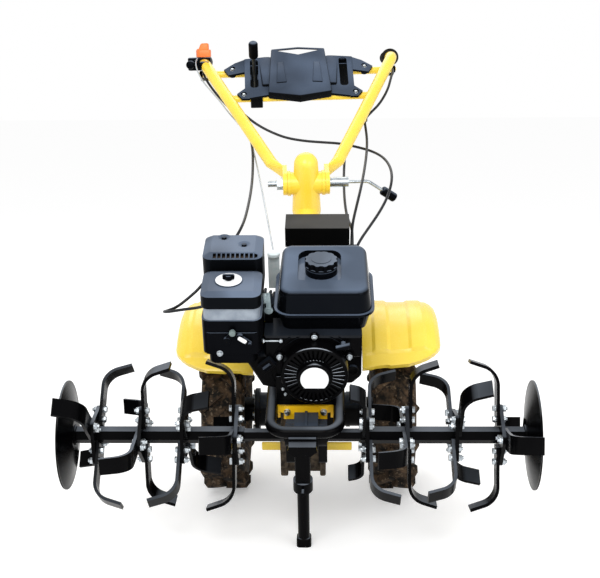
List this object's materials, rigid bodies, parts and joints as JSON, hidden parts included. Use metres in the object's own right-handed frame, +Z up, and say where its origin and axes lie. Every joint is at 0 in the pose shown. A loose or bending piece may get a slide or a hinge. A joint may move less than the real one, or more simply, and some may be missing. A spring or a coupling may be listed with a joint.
{
  "type": "power weeder",
  "caption": "Walk-behind petrol power weeder: front tine rotor with side discs, lugged tyres, small engine with tank and air cleaner, fenders, folding handlebar and parking stand",
  "frame": {"origin": "middle of the bounding box in x and y, on the ground", "axes": "+Z up, +Y to the operator's end of the handlebar, tine rotor along X at the front"},
  "size_m": [1.047, 1.2832, 1.1623],
  "materials": {
    "yellow_paint": "gloss paint",
    "black_paint": "gloss paint",
    "cast_case": "painted casting",
    "engine_metal": "painted die casting",
    "muffler_steel": "heat stained",
    "black_plastic": "satin",
    "console_plastic": "satin",
    "grip_rubber": "matte",
    "filter_band": "satin",
    "zinc": "zinc plated",
    "tyre": "dusty",
    "orange_plastic": "gloss"
  },
  "bodies": {
    "chassis": {"air_cleaner_band": "filter_band", "air_cleaner_base": "black_plastic", "air_cleaner_cover": "console_plastic", "black_box": "black_plastic", "cable_left": "grip_rubber", "cables_right": "grip_rubber", "clutch_housing": "cast_case", "control_post": "zinc", "cylinder_head": "engine_metal", "engine_block": "engine_metal", "engine_frame": "yellow_paint", "fan_cover": "black_plastic", "fender_left": "yellow_paint", "fender_right": "yellow_paint", "fender_stays": "yellow_paint", "front_bumper": "black_paint", "fuel_tank": "black_paint", "gear_cable": "grip_rubber", "gear_case": "cast_case", "handle_neck": "yellow_paint", "hitch_bracket": "yellow_paint", "muffler": "muffler_steel", "muffler_guard": "black_paint", "pivot_bolt": "zinc", "recoil_starter": "black_plastic", "stand_socket": "black_paint", "starter_grip": "black_plastic", "throttle_cable": "zinc", "tine_drive_case": "black_paint"},
    "wheels": {"wheel_axle": "zinc", "rim_left": "black_paint", "rim_right": "black_paint", "tyre_left": "tyre", "tyre_right": "tyre"},
    "rotor": {"tine_shaft": "black_paint", "tine_sleeve_left": "black_paint", "tine_sleeve_right": "black_paint", "tine_blades_left": "black_paint", "tine_blades_right": "black_paint", "side_disc_left": "black_paint", "side_disc_right": "black_paint"},
    "stand": {"stand_leg": "black_paint"},
    "handlebar": {"handle_frame": "yellow_paint", "console": "console_plastic", "grip_left": "grip_rubber", "grip_right": "grip_rubber", "throttle_body": "black_plastic"},
    "lock": {"lock_lever": "zinc", "lock_knob": "black_plastic"},
    "gear_stick": {"gear_lever": "zinc", "gear_knob": "black_plastic"},
    "lever_left": {"hand_lever_left": "black_paint"},
    "lever_right": {"hand_lever_right": "black_paint"},
    "throttle_thumb": {"throttle_flip": "orange_plastic"},
    "throttle_link": {"throttle_arm": "zinc"},
    "cap": {"fuel_cap": "black_plastic"},
    "air_wing_nut": {"air_cleaner_knob": "zinc"},
    "switch": {"engine_switch": "black_plastic"},
    "choke": {"choke_lever": "zinc"},
    "tap": {"fuel_tap": "zinc"}
  },
  "joints": [
    {"name": "wheel_spin", "type": "hinge", "parent": "chassis", "child": "wheels", "pos_m": [0.0165, -0.02355, 0.205], "axis": [1, 0, 0], "continuous": true},
    {"name": "tine_spin", "type": "hinge", "parent": "chassis", "child": "rotor", "pos_m": [0.0015, -0.47143, 0.27185], "axis": [1, 0, 0], "continuous": true},
    {"name": "stand_slide", "type": "slide", "parent": "chassis", "child": "stand", "axis": [0, 0.342, -0.9397], "range_m": [0, 0.06]},
    {"name": "handle_height", "type": "hinge", "parent": "chassis", "child": "handlebar", "pos_m": [0.0105, 0.00113, 0.79503], "axis": [0.9982, 0.0557, 0.0203], "range_deg": [-12, 18], "deforming": ["cable_left", "throttle_cable", "gear_cable", "cables_right"]},
    {"name": "lock_turn", "type": "hinge", "parent": "chassis", "child": "lock", "pos_m": [0.0105, 0.00113, 0.79503], "axis": [0.9982, 0.0557, 0.0203], "range_deg": [-60, 0]},
    {"name": "gear_shift", "type": "hinge", "parent": "handlebar", "child": "gear_stick", "pos_m": [-0.14236, 0.39744, 1.01718], "axis": [0.9982, 0.0557, 0.0203], "range_deg": [-20, 20]},
    {"name": "left_lever", "type": "hinge", "parent": "handlebar", "child": "lever_left", "pos_m": [-0.29383, 0.47054, 1.07297], "axis": [0.9982, 0.0557, 0.0203], "range_deg": [0, 9], "stiffness_Nm_per_rad": 4, "springref_deg": -17.19},
    {"name": "right_lever", "type": "hinge", "parent": "handlebar", "child": "lever_right", "pos_m": [0.24921, 0.50086, 1.08401], "axis": [0.9982, 0.0557, 0.0203], "range_deg": [0, 9], "stiffness_Nm_per_rad": 4, "springref_deg": -17.19},
    {"name": "throttle", "type": "hinge", "parent": "handlebar", "child": "throttle_thumb", "pos_m": [-0.30101, 0.46718, 1.13934], "axis": [-0.0203, -0.0006, 0.9998], "range_deg": [0, 45]},
    {"name": "throttle_arm", "type": "hinge", "parent": "chassis", "child": "throttle_link", "pos_m": [-0.0645, -0.46997, 0.55439], "axis": [0, 0.9397, 0.342], "range_deg": [0, 18]},
    {"name": "fuel_cap_turn", "type": "hinge", "parent": "chassis", "child": "cap", "pos_m": [0.0515, -0.44702, 0.65213], "axis": [0, -0.342, 0.9397], "range_deg": [0, 90]},
    {"name": "air_nut_turn", "type": "hinge", "parent": "chassis", "child": "air_wing_nut", "pos_m": [-0.1465, -0.52587, 0.63194], "axis": [0, -0.342, 0.9397], "continuous": true},
    {"name": "engine_switch", "type": "hinge", "parent": "chassis", "child": "switch", "pos_m": [-0.0685, -0.4895, 0.43554], "axis": [0.766, -0.2198, 0.604], "range_deg": [-10, 10]},
    {"name": "choke_turn", "type": "hinge", "parent": "chassis", "child": "choke", "pos_m": [-0.1505, -0.54523, 0.50678], "axis": [0, 0.9397, 0.342], "range_deg": [-60, 0]},
    {"name": "fuel_tap_turn", "type": "hinge", "parent": "chassis", "child": "tap", "pos_m": [-0.1225, -0.54797, 0.51429], "axis": [0, 0.9397, 0.342], "range_deg": [0, 50]}
  ],
  "couplings": [
    {"joint": "throttle_arm", "follows": "throttle", "ratio": 0.4}
  ]
}
